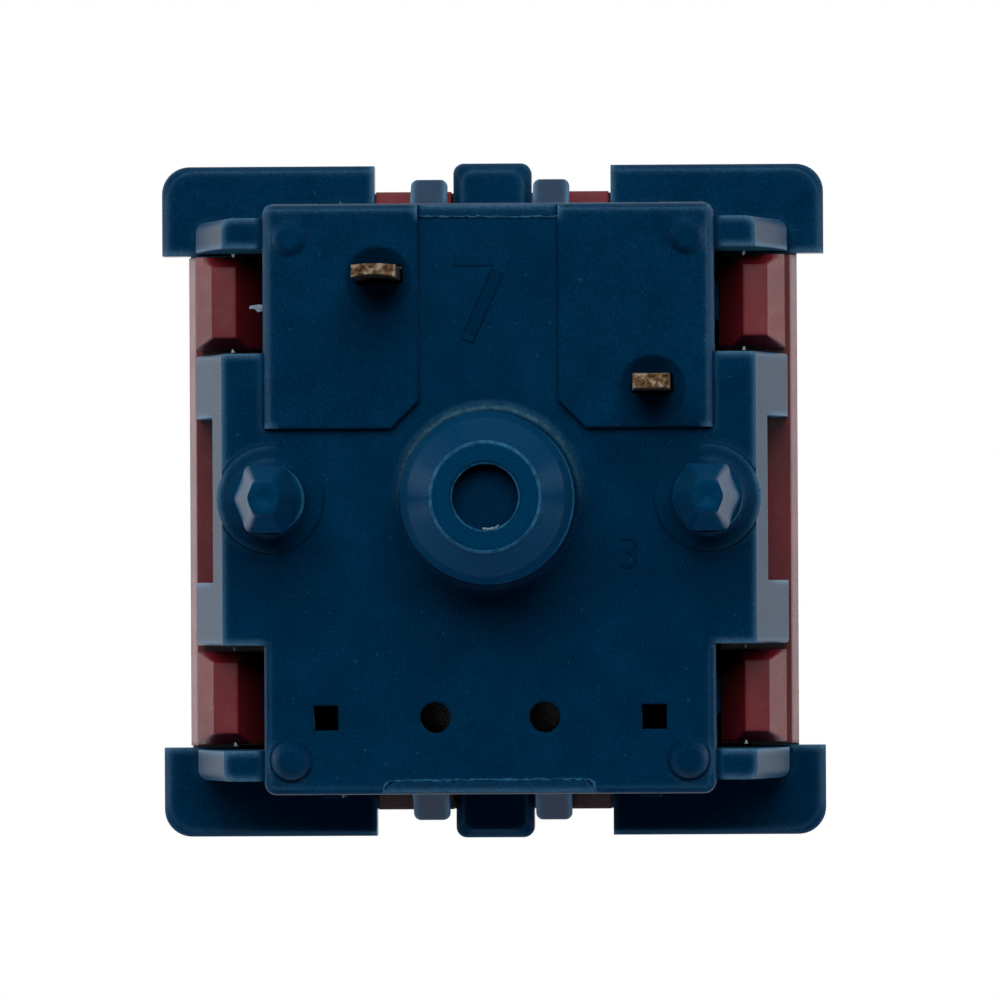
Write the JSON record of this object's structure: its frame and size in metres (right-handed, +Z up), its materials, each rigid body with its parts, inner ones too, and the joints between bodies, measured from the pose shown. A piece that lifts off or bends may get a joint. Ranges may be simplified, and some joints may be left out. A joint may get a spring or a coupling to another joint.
{
  "type": "mechanical keyboard switch",
  "caption": "Mechanical keyboard switch with a cross stem, sprung slider, leaf contacts, square snap-in housing, locating post and board pins.",
  "frame": {"origin": "centre of the locating post at the top face of the circuit board", "axes": "+Z up through the stem to the keycap, +Y towards the contacts, -Y towards the lamp slot"},
  "size_m": [0.0156, 0.016, 0.0185],
  "materials": {
    "navy_nylon": "fine moulded texture",
    "red_polycarbonate": "polished mould",
    "ivory_acetal": "smooth moulded",
    "spring_steel": "drawn wire",
    "contact_bronze": "stamped, sheared edges",
    "contact_gold": "clad"
  },
  "bodies": {
    "housing": {"bottom_housing": "navy_nylon", "top_housing": "red_polycarbonate", "moving_contact": "contact_bronze", "moving_contact_bar": "contact_gold", "fixed_contact": "contact_bronze", "fixed_contact_bar": "contact_gold", "spring": "spring_steel"},
    "stem": {"stem": "ivory_acetal"}
  },
  "joints": [
    {"name": "stem_slide", "type": "slide", "parent": "housing", "child": "stem", "axis": [0, 0, -1], "range_m": [0, 0.004], "stiffness_N_per_m": 75, "springref_m": -0.004, "deforming": ["spring"]}
  ]
}
